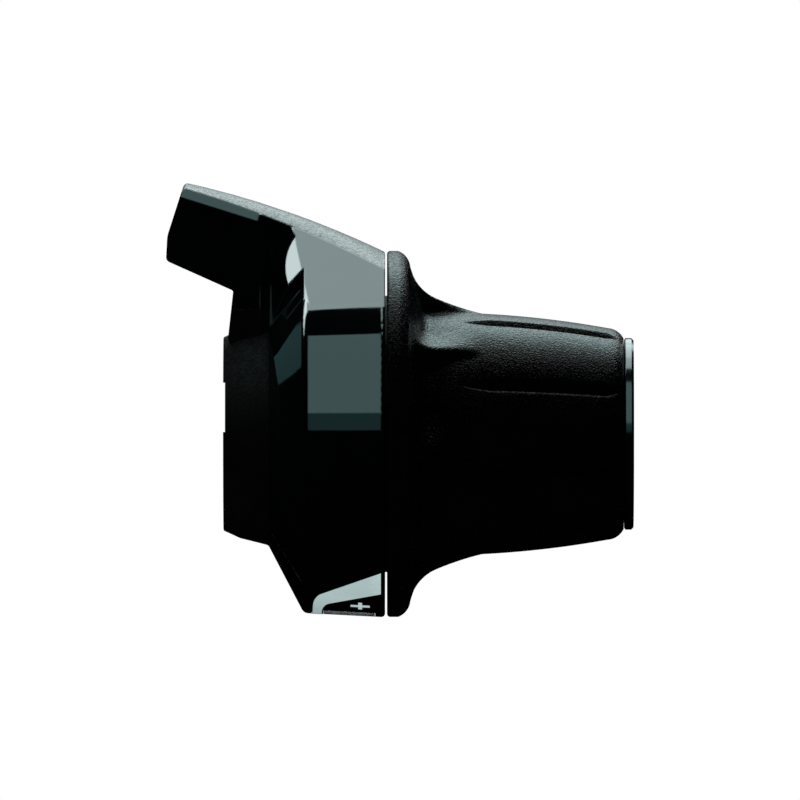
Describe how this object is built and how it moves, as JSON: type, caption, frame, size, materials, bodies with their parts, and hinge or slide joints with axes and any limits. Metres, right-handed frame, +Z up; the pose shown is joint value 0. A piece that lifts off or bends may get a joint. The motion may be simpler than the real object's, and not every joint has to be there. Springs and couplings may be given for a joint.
{
  "type": "twist grip shifter",
  "caption": "Right-hand bicycle twist grip shifter with a lobed rubber grip, glossy indicator drum and an upright cable arm, clamped on a flat handlebar.",
  "frame": {"origin": "on the handlebar axis at the clamp collar's inner face", "axes": "+X along the handlebar towards its end, +Z up with the cable arm, -Y towards the viewer of the picture"},
  "size_m": [0.073, 0.0572, 0.0678],
  "materials": {
    "bracket": "fine satin grain, black",
    "front_cover": "polished black",
    "indicator_bezel": "silver paint",
    "indicator_window": "clear",
    "number_strip": "printed numbers",
    "clamp_bolt": "zinc plated",
    "clamp_insert": "turned",
    "cover_screws": "zinc plated",
    "detent_spring": "spring steel",
    "cable_guide": "low-friction natural plastic",
    "port_plug": "matt black",
    "wave_washer": "spring steel",
    "thrust_washer": "low-friction natural plastic",
    "end_ring": "polished black",
    "grip_core": "moulded dark grey",
    "grip_rubber": "fine grain, black",
    "winder": "low-friction natural plastic",
    "index_ring": "hardened steel",
    "indicator_pointer": "signal red",
    "dust_seal": "matt black"
  },
  "bodies": {
    "bracket": {"bracket": "bracket", "front_cover": "front_cover", "indicator_bezel": "indicator_bezel", "indicator_window": "indicator_window", "number_strip": "number_strip", "clamp_bolt": "clamp_bolt", "clamp_insert": "clamp_insert", "cover_screws": "cover_screws", "detent_spring": "detent_spring", "cable_guide": "cable_guide", "port_plug": "port_plug", "wave_washer": "wave_washer", "thrust_washer": "thrust_washer", "end_ring": "end_ring"},
    "grip": {"grip_core": "grip_core", "grip_rubber": "grip_rubber", "winder": "winder", "index_ring": "index_ring", "indicator_pointer": "indicator_pointer", "dust_seal": "dust_seal"}
  },
  "joints": [
    {"name": "grip_twist", "type": "hinge", "parent": "bracket", "child": "grip", "pos_m": [0.03, 0, 0], "axis": [1, 0, 0], "range_deg": [0, 72], "deforming": ["detent_spring"]}
  ]
}
